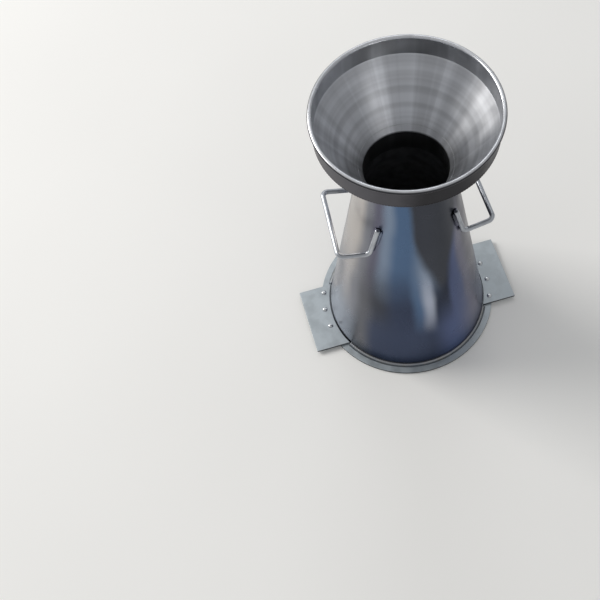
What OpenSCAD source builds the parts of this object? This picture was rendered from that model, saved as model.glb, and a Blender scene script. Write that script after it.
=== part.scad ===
// Slump cone with its filling funnel, in millimetres.
// The origin is the centre of the mould's base, +Z runs up the axis, +X points to the right-hand handle
// and -Y is the front. The mould stands on its base ring; the funnel sits in the mould's mouth and lifts off.

/* [Mould] */
// Inside diameter of the mould at its base
mould_base_d = 200; // [190:1:210]
// Inside diameter of the mould at its mouth
mould_mouth_d = 100; // [95:1:105]
// Height of the mould
mould_h = 300; // [280:1:320]
// Thickness of the mould's rolled sheet
mould_t = 2; // [1.5:0.1:3]
// Width of the ground weld bead down the rolled sheet's seam
seam_w = 4; // [3:0.5:6]
// How far the seam bead stands proud of the sheet
seam_rise = 0.7; // [0.4:0.1:1.2]

/* [Base ring] */
// Width of the ring outside the mould's wall
ring_w = 11; // [10:0.5:16]
// Thickness of the ring
ring_t = 3; // [2:0.5:5]
// Leg of the fillet weld between the ring and the mould
ring_weld_leg = 4; // [2:0.5:5]

/* [Foot plates] */
// Length of a foot plate along the mould's edge
plate_l = 91; // [70:1:100]
// How far a foot plate reaches out from the foot of the mould
plate_w = 33.5; // [26:0.5:45]
// Thickness of a foot plate
plate_t = 3; // [2:0.5:5]
// Gap between a foot plate's hollow edge and the mould's wall
plate_gap = 0.8; // [0.5:0.1:1.5]

/* [Rivets] */
// Diameter of a rivet's shank
rivet_d = 4; // [3:0.5:5]
// Diameter of a rivet's domed head
rivet_head_d = 7; // [6:0.5:8]
// Height of a rivet's domed head
rivet_head_h = 1.8; // [1:0.1:2.5]
// Distance of the rivet row from the foot of the mould
rivet_inset = 8; // [5.5:0.5:8]
// Spacing of the rivets along their row
rivet_pitch = 25.5; // [15:0.5:30]
// Distance from the row's first rivet to the plate's end, the front end on the right
rivet_end = 9; // [6:0.5:14]

/* [Handles] */
// Diameter of the handle's round rod
rod_d = 6; // [5:0.5:8]
// Centre-line radius of every bend in the rod
rod_bend_r = 6.5; // [5:0.5:10]
// Distance between the two arms of a handle, centre to centre
handle_span = 91; // [80:1:100]
// Length of an arm, from the bend on the mould to the grip
handle_stand = 37; // [30:1:50]
// Distance from the mould's mouth down to the tips of the tails
tail_drop = 44; // [36:1:70]
// How steeply the arms rise outwards, in degrees
handle_rise = 13; // [0:1:15]
// Height that a tail climbs up the mould's wall
tail_rise = 47; // [36:1:55]
// Length of the weld beads beside a tail
tail_weld_l = 28; // [15:1:30]
// Diameter of the weld beads beside a tail
tail_weld_d = 3.6; // [3:0.2:4]
// How far the left handle is set round the mould from facing the right one, in degrees
left_handle_set = -4; // [-8:1:8]

/* [Funnel] */
// Outside diameter of the funnel's rolled rim
rim_d = 201; // [180:1:230]
// Diameter of the roll along the rim's edge
rim_roll_d = 5.2; // [4:0.2:7]
// Thickness of the rim band
rim_t = 1.5; // [1:0.1:2.5]
// Height of the rim band with its roll
rim_h = 28; // [18:1:36]
// Height of the bowl, from the neck to the rim band
bowl_h = 73; // [55:1:95]
// Thickness of the bowl's and neck's sheet
funnel_t = 1.5; // [1:0.1:2]
// Gap between the neck and the mould's mouth, all round
neck_gap = 1; // [0.8:0.1:3]
// Length of the neck inside the mould's mouth
neck_l = 30; // [15:1:45]
// Diameter of the weld bead under the rim band
rim_weld_d = 3.2; // [2.4:0.2:4]
// Diameter of the weld bead at the neck
neck_weld_d = 2.4; // [1.8:0.2:3]

/* [Hidden] */
$fn = 144;

// Clearances: between welded pieces, round a rivet, under a rod tail, and between the funnel and the mould's mouth
joint_gap = 0.05;
rivet_gap = 0.05;
tail_gap = 0.25;
seat_gap = 0.3;
// How far a cutting shape runs past what it cuts
overrun = 1;
// A bend in the rod swells by this much, and the straight runs lap into it by this much
bend_swell = 0.03;
bend_lap = 0.3;
// How far the rim's roll stands inside the band
roll_lap = 0.4;

// Finishes
sheet_grey = "#6d727d";
plate_grey = "#a9b1b8";
zinc_bright = "#d3d8dc";
weld_grey = "#8a8d90";
spun_grey = "#8e9196";

// The mould's wall: its lean, its thickness measured level, and its radius at a height
wall_lean = atan((mould_base_d - mould_mouth_d) / 2 / mould_h);
wall_level = mould_t / cos(wall_lean);
function mould_in(z) = mould_base_d / 2 - z * tan(wall_lean);
function mould_out(z) = mould_in(z) + wall_level;

ring_r = mould_out(0) + ring_w;
plate_arc_r = mould_out(ring_t) + plate_gap;
plate_reach = mould_out(0) + plate_w;

// The seam bead is the crown of a larger circle, and stops short of the base weld and of the mouth
seam_r = (pow(seam_w / 2, 2) + pow(seam_rise, 2)) / (2 * seam_rise);
seam_z0 = ring_t + ring_weld_leg + seam_rise;
seam_z1 = mould_h - seam_rise;

// The base weld stops short of the foot plates; its face is hollowed a little
ring_weld_turn = asin((plate_l / 2 + plate_gap) / mould_out(ring_t + ring_weld_leg));
ring_weld_hollow_share = 0.12;
ring_weld_steps = 6;

// Rivets run in a row on a circle, each with a flush tail under the ring
rivet_count = 3;
rivet_circle_r = mould_out(0) + rivet_inset;
rivet_tail_d = rivet_d + ring_t / 2;
rivet_tail_h = ring_t / 3;
rivet_dome_r = (pow(rivet_head_d / 2, 2) + pow(rivet_head_h, 2)) / (2 * rivet_head_h);
function arc_turn(length, radius) = length / radius * 180 / PI;
rivet_turns = [
    for (i = [0 : rivet_count - 1])
        arc_turn(rivet_end + i * rivet_pitch - plate_l / 2, rivet_circle_r)
];

// A handle's rod, from the tail on the rear side round to the tail on the front side.
// The tails lie against the wall in the planes of the arms.
rod_r = rod_d / 2;
arm_y = handle_span / 2;
tail_offset = (rod_r + tail_gap) / cos(wall_lean);
function tail_x(z) = sqrt(pow(mould_out(z) + tail_offset, 2) - pow(arm_y, 2));
tip_z = mould_h - tail_drop;
tip_x = tail_x(tip_z);
handle_z = tip_z - tail_rise;
foot_x = tail_x(handle_z);
grip_x = foot_x + handle_stand * cos(handle_rise);
grip_z = handle_z + handle_stand * sin(handle_rise);
handle_path = [
    [tip_x, arm_y, tip_z],
    [foot_x, arm_y, handle_z],
    [grip_x, arm_y, grip_z],
    [grip_x, -arm_y, grip_z],
    [foot_x, -arm_y, handle_z],
    [tip_x, -arm_y, tip_z]
];

// The funnel: its bowl leans so that it spans from the neck to the rim band, and rests on the mould's mouth
roll_r = rim_roll_d / 2;
roll_at = rim_d / 2 - roll_r;
band_in = rim_d / 2 - rim_roll_d + roll_lap;
neck_r = mould_in(mould_h) - neck_gap - funnel_t;
bowl_r = band_in - joint_gap;
bowl_lean = atan((bowl_r - neck_r) / bowl_h);
bowl_level = funnel_t / cos(bowl_lean);
bowl_foot_r = neck_r + bowl_level;
bowl_z = mould_h - (mould_in(mould_h) - seat_gap / cos(bowl_lean) - bowl_foot_r) / tan(bowl_lean);
bowl_edge_z = bowl_z + (bowl_r - bowl_foot_r) / tan(bowl_lean);
band_z0 = bowl_edge_z;
band_z1 = band_z0 + rim_h;
roll_z = band_z1 - roll_r;
neck_top_z = bowl_z - joint_gap;
rim_seam_turn = 10;
left_turn = 180 + left_handle_set;

function unit(v) = v / norm(v);

// A round bar between two points
module bar(from, to, radius) {
    run = to - from;
    translate(from)
        rotate([0, acos(run.z / norm(run)), atan2(run.y, run.x)])
            cylinder(r = radius, h = norm(run));
}

// A dressed weld bead running up from the origin, its flat back on the plane x = 0
module seam_bead(length) {
    difference() {
        translate([seam_rise - seam_r, 0, 0]) cylinder(r = seam_r, h = length);
        translate([-2 * seam_r, -seam_r - overrun, -overrun])
            cube([2 * seam_r, 2 * (seam_r + overrun), length + 2 * overrun]);
    }
}

// How much of the straight runs a bend takes up on each side of a corner of the path
function bend_cut(path, i, bend) =
    bend * tan(acos(unit(path[i] - path[i - 1]) * unit(path[i + 1] - path[i])) / 2);

// A rod bent along a path of corner points, with the same radius at each bend
module bent_rod(path, radius, bend) {
    last = len(path) - 1;
    for (i = [0 : last - 1]) {
        along = unit(path[i + 1] - path[i]);
        start = i == 0 ? 0 : bend_cut(path, i, bend) - bend_lap;
        stop = i == last - 1 ? 0 : bend_cut(path, i + 1, bend) - bend_lap;
        bar(path[i] + along * start, path[i + 1] - along * stop, radius);
    }
    for (i = [1 : last - 1]) {
        before = unit(path[i] - path[i - 1]);
        after = unit(path[i + 1] - path[i]);
        inward = unit(after - before * (before * after));
        hub = path[i] - before * bend_cut(path, i, bend) + inward * bend;
        across = cross(-inward, before);
        multmatrix([
            [-inward.x, before.x, across.x, hub.x],
            [-inward.y, before.y, across.y, hub.y],
            [-inward.z, before.z, across.z, hub.z],
            [0, 0, 0, 1]
        ])
            rotate_extrude(angle = acos(before * after)) translate([bend, 0]) circle(r = radius + bend_swell);
    }
}

// The space inside the mould's outer face, for cutting what lies against it
module mould_space() {
    rotate_extrude($fn = 3 * $fn)
        polygon([
            [0, -overrun],
            [mould_out(-overrun), -overrun],
            [mould_out(mould_h + overrun), mould_h + overrun],
            [0, mould_h + overrun]
        ]);
}

module cone_shell() {
    color(sheet_grey)
        rotate_extrude()
            polygon([
                [mould_in(0), 0],
                [mould_out(0), 0],
                [mould_out(mould_h), mould_h],
                [mould_in(mould_h), mould_h]
            ]);
}

module shell_seam_weld() {
    color(weld_grey)
        rotate(90)
            translate([mould_out(seam_z0) + joint_gap, 0, seam_z0])
                rotate([0, -wall_lean, 0])
                    seam_bead((seam_z1 - seam_z0) / cos(wall_lean));
}

// One rivet's shank and flush tail, also the shape of its hole
module rivet_shank(gap) {
    translate([0, 0, -gap]) {
        cylinder(d = rivet_d + 2 * gap, h = ring_t + plate_t + 2 * gap);
        cylinder(d1 = rivet_tail_d + 2 * gap, d2 = rivet_d + 2 * gap, h = rivet_tail_h + gap);
    }
}

module at_rivets() {
    for (turn = rivet_turns) rotate(turn) translate([rivet_circle_r, 0, 0]) children();
}

module base_ring() {
    color(plate_grey)
        difference() {
            rotate_extrude()
                polygon([
                    [mould_out(0) + joint_gap, 0],
                    [ring_r, 0],
                    [ring_r, ring_t],
                    [mould_out(ring_t) + joint_gap, ring_t]
                ]);
            for (side = [0, 180]) rotate(side) at_rivets() rivet_shank(rivet_gap);
        }
}

// A fillet weld along the foot of the mould, between the foot plates
module base_weld() {
    low = ring_t + joint_gap;
    toe = [mould_out(low) + ring_weld_leg, low];
    top = [mould_out(low + ring_weld_leg) + joint_gap, low + ring_weld_leg];
    hollow = ring_weld_leg * ring_weld_hollow_share;
    inward = unit([toe.y - top.y, top.x - toe.x]);
    face = [
        for (i = [0 : ring_weld_steps])
            let (s = i / ring_weld_steps)
                toe + (top - toe) * s + inward * hollow * 4 * s * (1 - s)
    ];
    rotate(ring_weld_turn)
        rotate_extrude(angle = 180 - 2 * ring_weld_turn)
            polygon(concat([[mould_out(low) + joint_gap, low]], face));
}

module front_base_weld() {
    color(weld_grey) rotate(180) base_weld();
}

module rear_base_weld() {
    color(weld_grey) base_weld();
}

// A flat plate on top of the ring, its inner edge hollowed round the mould
module foot_plate() {
    color(plate_grey)
        difference() {
            translate([0, -plate_l / 2, ring_t]) cube([plate_reach, plate_l, plate_t]);
            cylinder(r = plate_arc_r, h = ring_t + plate_t + overrun);
            at_rivets() rivet_shank(rivet_gap);
        }
}

module left_foot_plate() {
    rotate(180) foot_plate();
}

module right_foot_plate() {
    foot_plate();
}

// Domed rivets through the plate and the ring
module foot_rivets() {
    color(zinc_bright)
        at_rivets() {
            rivet_shank(0);
            translate([0, 0, ring_t + plate_t])
                intersection() {
                    translate([0, 0, rivet_head_h - rivet_dome_r]) sphere(r = rivet_dome_r);
                    cylinder(d = rivet_head_d, h = rivet_head_h);
                }
        }
}

module left_foot_rivets() {
    rotate(180) foot_rivets();
}

module right_foot_rivets() {
    foot_rivets();
}

module handle() {
    color(zinc_bright) bent_rod(handle_path, rod_r, rod_bend_r);
}

module left_handle() {
    rotate(left_turn) handle();
}

module right_handle() {
    handle();
}

// Two beads in the corners between a tail and the wall; side is 1 for the +Y tail and -1 for the other
module tail_weld(side) {
    foot = [foot_x, side * arm_y, handle_z];
    tip = [tip_x, side * arm_y, tip_z];
    up = unit(tip - foot);
    turn = atan2(side * arm_y, (foot_x + tip_x) / 2);
    out = [cos(turn) * cos(wall_lean), sin(turn) * cos(wall_lean), sin(wall_lean)];
    beside = unit(cross(up, out));
    bead_r = tail_weld_d / 2;
    drop = rod_r + tail_gap - bead_r / 2;
    aside = sqrt(pow(rod_r + bead_r, 2) - pow(drop, 2)) - bead_r / 4;
    color(weld_grey)
        difference() {
            for (hand = [-1, 1])
                bar(
                    tip - up * (tail_weld_l + bead_r) + beside * hand * aside - out * drop,
                    tip - up * bead_r + beside * hand * aside - out * drop,
                    bead_r
                );
            mould_space();
            bar(foot, tip + up * overrun, rod_r + joint_gap);
        }
}

module left_handle_front_weld() {
    rotate(left_turn) tail_weld(1);
}

module left_handle_rear_weld() {
    rotate(left_turn) tail_weld(-1);
}

module right_handle_front_weld() {
    tail_weld(-1);
}

module right_handle_rear_weld() {
    tail_weld(1);
}

module funnel_bowl() {
    color(spun_grey)
        rotate_extrude()
            polygon([
                [neck_r, bowl_z],
                [bowl_foot_r, bowl_z],
                [bowl_r, bowl_edge_z],
                [bowl_r, bowl_z + bowl_h]
            ]);
}

// An upright strip whose top edge is rolled outwards
module funnel_rim_band() {
    color(spun_grey)
        rotate_extrude() {
            translate([band_in, band_z0]) square([rim_t, roll_z - band_z0]);
            translate([roll_at, roll_z]) circle(r = roll_r);
        }
}

// The butt weld where the strip's ends meet, dressed on the outside
module rim_band_seam_weld() {
    color(weld_grey)
        rotate(rim_seam_turn)
            translate([band_in + rim_t + joint_gap, 0, band_z0 + seam_rise])
                seam_bead(rim_h - rim_roll_d - 2 * seam_rise);
}

module funnel_rim_weld() {
    bead_r = rim_weld_d / 2;
    color(weld_grey)
        difference() {
            rotate_extrude()
                translate([band_in, band_z0 - bead_r / 2]) circle(r = bead_r);
            funnel_bowl();
            funnel_rim_band();
            // Nothing of the bead is left inside the bowl
            rotate_extrude()
                polygon([
                    [0, bowl_z],
                    [neck_r + bowl_level / 2, bowl_z],
                    [bowl_r - bowl_level / 2 + overrun * tan(bowl_lean), bowl_z + bowl_h + overrun],
                    [0, bowl_z + bowl_h + overrun]
                ]);
        }
}

module funnel_neck() {
    color(spun_grey)
        rotate_extrude()
            translate([neck_r, neck_top_z - neck_l]) square([funnel_t, neck_l]);
}

module funnel_neck_weld() {
    color(weld_grey)
        difference() {
            rotate_extrude()
                translate([neck_r + funnel_t / 4, bowl_z]) circle(d = neck_weld_d);
            funnel_bowl();
            funnel_neck();
            // Nothing of the bead is left outside the funnel
            rotate_extrude()
                translate([neck_r, bowl_z - neck_weld_d]) square([neck_weld_d, neck_weld_d + joint_gap]);
        }
}

cone_shell();
shell_seam_weld();
base_ring();
front_base_weld();
rear_base_weld();
left_foot_plate();
right_foot_plate();
left_foot_rivets();
right_foot_rivets();
left_handle();
right_handle();
left_handle_front_weld();
left_handle_rear_weld();
right_handle_front_weld();
right_handle_rear_weld();
funnel_bowl();
funnel_rim_band();
rim_band_seam_weld();
funnel_rim_weld();
funnel_neck();
funnel_neck_weld();
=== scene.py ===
"""Looks for a slump cone and the filling funnel that sits in its mouth.

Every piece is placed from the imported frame, in metres, with +Z up the mould's axis and the handles on X.
"""

from math import asin, atan, atan2, cos, pi, radians, sin, sqrt, tan, tau

import bmesh
import bpy
from bmesh.types import BMEdge, BMVert
from bpy.props import FloatProperty, FloatVectorProperty, PointerProperty
from bpy.types import Node, NodeSocket, Operator, Panel, PropertyGroup
from mathutils import Matrix, Quaternion, Vector


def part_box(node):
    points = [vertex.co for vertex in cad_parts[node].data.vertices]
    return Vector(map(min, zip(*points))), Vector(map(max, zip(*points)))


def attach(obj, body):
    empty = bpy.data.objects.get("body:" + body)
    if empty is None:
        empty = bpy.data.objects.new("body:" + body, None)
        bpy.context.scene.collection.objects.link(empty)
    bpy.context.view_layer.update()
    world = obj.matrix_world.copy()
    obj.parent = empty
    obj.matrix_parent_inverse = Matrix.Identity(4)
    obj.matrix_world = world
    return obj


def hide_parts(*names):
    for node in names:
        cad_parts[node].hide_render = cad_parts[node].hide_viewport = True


bl_info = {
    "name": "Slump Cone",
    "version": (1, 0, 0),
    "blender": (4, 5, 0),
    "location": "View3D > Sidebar > Slump Cone",
    "description": "Dresses a slump cone and its filling funnel in plated, riveted and spun steel",
    "category": "Add Mesh",
}

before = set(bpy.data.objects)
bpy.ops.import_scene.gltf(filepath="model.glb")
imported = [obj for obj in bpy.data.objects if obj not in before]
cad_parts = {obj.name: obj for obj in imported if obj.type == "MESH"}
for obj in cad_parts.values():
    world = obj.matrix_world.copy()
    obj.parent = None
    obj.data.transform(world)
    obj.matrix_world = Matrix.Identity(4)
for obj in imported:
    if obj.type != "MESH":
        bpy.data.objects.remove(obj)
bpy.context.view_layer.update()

MM = 0.001
# Levels and solids closer than this touch
TOUCH = 1e-5
# Points closer than this are one
SAME = 1e-6
# Rounding of a corner that stays crisp
CRISP = 1e-5
# Steps in a full turn of a round piece
ROUND_STEPS = 256
# A corner sharper than this is softened
SHARP = radians(30)
# A face is upright if its normal rises or falls by less than this
UPRIGHT = 0.2
# Sides of a straight weld bead, and the steps along each ripple
BEAD_SIDES, RIPPLE_STEPS = 20, 5
# How far a ripple trails at a bead's sides, how blunt its crest is, and how far up its rise the bead's own skin lies
RIPPLE_TRAIL, RIPPLE_BLUNT, RIPPLE_SINK = 0.35, 0.7, 0.6
# Least share of its section's area that a bead's tapered end keeps
TAPER_END = 0.02
# Where most of a noise's values lie
NOISE_SPAN = {"From Min": 0.3, "From Max": 0.7}
# Sockets of a Mix node that mixes colours
MIX, UNDER, OVER = 0, 6, 7
SIDES = ("right", "left")
# The four tails: the handle's side, the tail's end and the sign of its Y before the handle is turned
TAILS = [("right", "front", -1), ("right", "rear", 1), ("left", "front", 1), ("left", "rear", -1)]


def linear(code):
    """Linear red, green and blue of an sRGB hex colour."""
    parts = [int(code[i:i + 2], 16) / 255 for i in (1, 3, 5)]
    return [c / 12.92 if c <= 0.04045 else ((c + 0.055) / 1.055) ** 2.4 for c in parts]


def shaded(colour, *share):
    """A linear colour with each channel at a share of itself, or all at one share."""
    return [c * s for c, s in zip(colour, share * 3)]


def grey(level):
    """A linear grey."""
    return (level,) * 3


def points_of(node):
    """The points of a CAD node."""
    return [v.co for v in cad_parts[node].data.vertices]


def level_radii(node, top):
    """Smallest and largest radius of a CAD node round the axis, at its lowest or highest level."""
    low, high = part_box(node)
    level = high.z if top else low.z
    radii = [p.xy.length for p in points_of(node) if abs(p.z - level) < TOUCH]
    return min(radii), max(radii)


def solids_of(node):
    """Boxes of the separate solids in a CAD node, as pairs of corners, in order of their lowest corners."""
    bm = bmesh.new()
    bm.from_mesh(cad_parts[node].data)
    bmesh.ops.remove_doubles(bm, verts=bm.verts, dist=TOUCH)
    left = set(bm.verts)
    boxes = []
    while left:
        island, edge = set(), [left.pop()]
        while edge:
            vert = edge.pop()
            island.add(vert)
            edge += [v for e in vert.link_edges for v in e.verts if v not in island]
        left -= island
        corners = [[pick(v.co[k] for v in island) for k in range(3)] for pick in (min, max)]
        boxes.append([Vector(c) for c in corners])
    bm.free()
    return sorted(boxes, key=lambda box: tuple(box[0]))


MOULD_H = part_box("cone_shell")[1].z
FOOT_IN, FOOT_OUT = level_radii("cone_shell", top=False)
MOUTH_IN, MOUTH_OUT = level_radii("cone_shell", top=True)
WALL_LEAN = atan((FOOT_OUT - MOUTH_OUT) / MOULD_H)


def wall(z):
    """Outer radius of the mould at a height."""
    return FOOT_OUT - z * tan(WALL_LEAN)


class SlumpConeSizes(PropertyGroup):
    """Sizes that the frame leaves open"""

    sheet_round: FloatProperty(
        name="Sheet edge", description="Rounding of the mould's and funnel's sheet edges",
        default=0.5 * MM, unit="LENGTH")
    plate_round: FloatProperty(
        name="Plate edge", description="Rounding of the ring's and foot plates' edges",
        default=0.35 * MM, unit="LENGTH")
    rod_diameter: FloatProperty(
        name="Rod", description="Diameter of the handles' round rod", default=6 * MM, unit="LENGTH")
    rod_bend: FloatProperty(
        name="Bend", description="Centre-line radius of the rod's bends", default=6.5 * MM, unit="LENGTH")
    handle_span: FloatProperty(
        name="Span", description="Distance between a handle's arms", default=91 * MM, unit="LENGTH")
    handle_stand: FloatProperty(
        name="Stand", description="Length of a handle's arm", default=37 * MM, unit="LENGTH")
    handle_rise: FloatProperty(
        name="Rise", description="How steeply the arms rise outwards", default=radians(13), unit="ROTATION")
    left_handle_turn: FloatProperty(
        name="Left handle", description="How far round the mould the left handle stands from the right one",
        default=radians(176), unit="ROTATION")
    tail_rise: FloatProperty(
        name="Tail", description="Height that a tail climbs up the wall", default=47 * MM, unit="LENGTH")
    tail_drop: FloatProperty(
        name="Drop", description="Distance from the mouth down to the tails' tips", default=44 * MM, unit="LENGTH")
    tail_gap: FloatProperty(
        name="Gap", description="Gap between a tail and the wall", default=0.25 * MM, unit="LENGTH")
    tail_weld_length: FloatProperty(
        name="Tail weld", description="Length of the beads beside a tail", default=28 * MM, unit="LENGTH")
    tail_weld_diameter: FloatProperty(
        name="Tail bead", description="Diameter of the beads beside a tail", default=3.6 * MM, unit="LENGTH")
    rim_roll: FloatProperty(
        name="Roll", description="Diameter of the roll along the rim's edge", default=5.2 * MM, unit="LENGTH")
    rim_weld_diameter: FloatProperty(
        name="Rim bead", description="Diameter of the bead under the rim band", default=3.2 * MM, unit="LENGTH")
    neck_weld_height: FloatProperty(
        name="Neck weld", description="Height that the neck's dressed weld climbs up the bowl",
        default=6.5 * MM, unit="LENGTH")
    dressed_rise: FloatProperty(
        name="Dressed rise", description="How far a dressed weld stands out of the sheet",
        default=0.25 * MM, unit="LENGTH")
    ripple_pitch: FloatProperty(
        name="Ripple", description="Spacing of the ripples along a weld bead", default=3.0 * MM, unit="LENGTH")
    ripple_rise: FloatProperty(
        name="Ripple rise", description="Height of the ripples on a weld bead", default=0.28 * MM, unit="LENGTH")


class SlumpConeColours(PropertyGroup):
    """Finishes of the steel, and the mould sheet's tints of painted reflection, as linear colours"""

    # These sheet tints are painted reflection: set round the mould, light ones stand for bright surroundings mirrored
    # in the steel, dark ones for dark
    reflection_straw: FloatVectorProperty(
        name="Straw", description="Lightest tint of the plated sheet", subtype="COLOR", default=linear("#bdb8b4"))
    reflection_smoke: FloatVectorProperty(
        name="Smoke", description="Grey tint of the plated sheet", subtype="COLOR", default=linear("#80828a"))
    reflection_sky: FloatVectorProperty(
        name="Sky", description="Pale blue tint of the plated sheet", subtype="COLOR", default=linear("#7f8ea3"))
    reflection_blue: FloatVectorProperty(
        name="Blue", description="Blue tint of the plated sheet", subtype="COLOR", default=linear("#566e8e"))
    reflection_navy: FloatVectorProperty(
        name="Navy", description="Deep blue tint of the plated sheet", subtype="COLOR", default=linear("#3a4359"))
    reflection_slate: FloatVectorProperty(
        name="Slate", description="Darkest tint of the plated sheet", subtype="COLOR", default=linear("#42454d"))
    reflection_indigo: FloatVectorProperty(
        name="Indigo", description="Violet blue tint of the plated sheet", subtype="COLOR", default=linear("#5a678d"))
    reflection_lilac: FloatVectorProperty(
        name="Lilac", description="Pale violet tint of the plated sheet", subtype="COLOR", default=linear("#b0b7c8"))
    reflection_violet: FloatVectorProperty(
        name="Violet", description="Grey violet tint of the plated sheet", subtype="COLOR", default=linear("#747486"))
    inside: FloatVectorProperty(
        name="Inside", description="Dull inside of the mould", subtype="COLOR", default=linear("#75767b"))
    plate: FloatVectorProperty(
        name="Plate", description="Plated ring and foot plates", subtype="COLOR", default=linear("#b9c1c6"))
    # Dark partly as raw cut steel and partly as painted shade along the plates' and ring's edges
    cut_edge_and_shade: FloatVectorProperty(
        name="Sheared", description="Cut edges of the ring and foot plates", subtype="COLOR",
        default=linear("#34363b"))
    rod: FloatVectorProperty(
        name="Rod", description="Bright plated rod", subtype="COLOR", default=linear("#b8bcc2"))
    rivet: FloatVectorProperty(
        name="Rivet", description="Rivet heads", subtype="COLOR", default=linear("#d5d9dc"))
    weld: FloatVectorProperty(
        name="Weld", description="Brushed welds at the mould's foot", subtype="COLOR", default=linear("#9a9c9f"))
    spun: FloatVectorProperty(
        name="Spun", description="Spun inside of the funnel", subtype="COLOR", default=linear("#d5d7db"))
    # The dark grey of the rim band's outside is partly painted shade
    mill_and_shade: FloatVectorProperty(
        name="Mill", description="Outside of the rim band, left as rolled", subtype="COLOR", default=linear("#56555a"))
    floor: FloatVectorProperty(
        name="Floor", description="Pale floor", subtype="COLOR", default=linear("#f3f3f1"))


class SlumpConeStage(PropertyGroup):
    """Camera and light"""

    camera_place: FloatVectorProperty(
        name="Camera", description="Where the camera stands", subtype="XYZ", unit="LENGTH",
        default=(-0.2014, -0.6245, 1.2311))
    camera_aim: FloatVectorProperty(
        name="Aim", description="Point on the floor at the picture's centre", subtype="XYZ", unit="LENGTH",
        default=(-0.1375, 0.0382, 0.0))
    camera_roll: FloatProperty(
        name="Roll", description="Turn of the camera about its line of sight", default=radians(-10.9),
        unit="ROTATION")
    lens: FloatProperty(
        name="Lens", description="Focal length on a 36 mm sensor, in millimetres", default=62.1, unit="CAMERA")
    key_power: FloatProperty(
        name="Key", description="Power of the soft light from behind on the left", default=98.0, unit="POWER")
    rear_power: FloatProperty(
        name="Rear", description="Power of the broad light from behind", default=14.0, unit="POWER")
    sky: FloatProperty(
        name="Sky", description="Strength of the even light from all round", default=0.52)


# Materials


def add(tree, kind, inputs=None, stops=None, **settings):
    """One shader node with its settings, and a colour ramp's stops as places and colours.

    Inputs go by socket name or number. They hold constants, sockets to link, or nodes to link by their first output
    in use.
    """
    node = tree.nodes.new("ShaderNode" + kind)
    for name, value in settings.items():
        setattr(node, name, value)
    if stops:
        ramp = node.color_ramp
        ramp.interpolation = "EASE"
        while len(ramp.elements) < len(stops):
            ramp.elements.new(1.0)
        for element, (at, colour) in zip(ramp.elements, stops):
            element.position = at
            element.color = (*colour, 1.0)
    for name, value in (inputs or {}).items():
        if isinstance(value, Node):
            value = next(output for output in value.outputs if output.enabled)
        if isinstance(value, NodeSocket):
            tree.links.new(value, node.inputs[name])
        else:
            node.inputs[name].default_value = value
    return node


def blank_tree(owner):
    """The emptied node tree of a new material or world."""
    owner.use_nodes = True
    owner.node_tree.nodes.clear()
    return owner.node_tree


def finish_of(maker):
    """The material that carries its maker's name, made the first time it is asked for.

    A maker lays the nodes of one finish over Object coordinates and gives back the Principled shader's inputs.
    """
    material = bpy.data.materials.get(maker.__name__)
    if material is None:
        material = bpy.data.materials.new(maker.__name__)
        tree = blank_tree(material)
        place = add(tree, "TexCoord").outputs["Object"]
        shader = add(tree, "BsdfPrincipled", maker(tree, place, bpy.context.scene.slump_colours))
        add(tree, "OutputMaterial", {"Surface": shader})
    return material


def mottle(tree, place, size_mm, detail, stops):
    """Cloudy noise of a real size, and the tint that it gives between the stops."""
    noise = add(tree, "TexNoise", {"Vector": place, "Scale": 1000 / size_mm, "Detail": detail})
    return noise, add(tree, "ValToRGB", {"Fac": noise}, stops)


def from_axis(tree, place):
    """The level way from the axis to a place, and its length."""
    level = add(tree, "VectorMath", {0: place, 1: (1, 1, 0)}, operation="MULTIPLY")
    return level, add(tree, "VectorMath", {0: level}, operation="LENGTH")


def round_stops(tints):
    """Ramp stops from tints at directions round the axis, in degrees from -180 to 180."""
    return [((turn + 180) / 360, tint) for turn, tint in tints]


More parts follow.
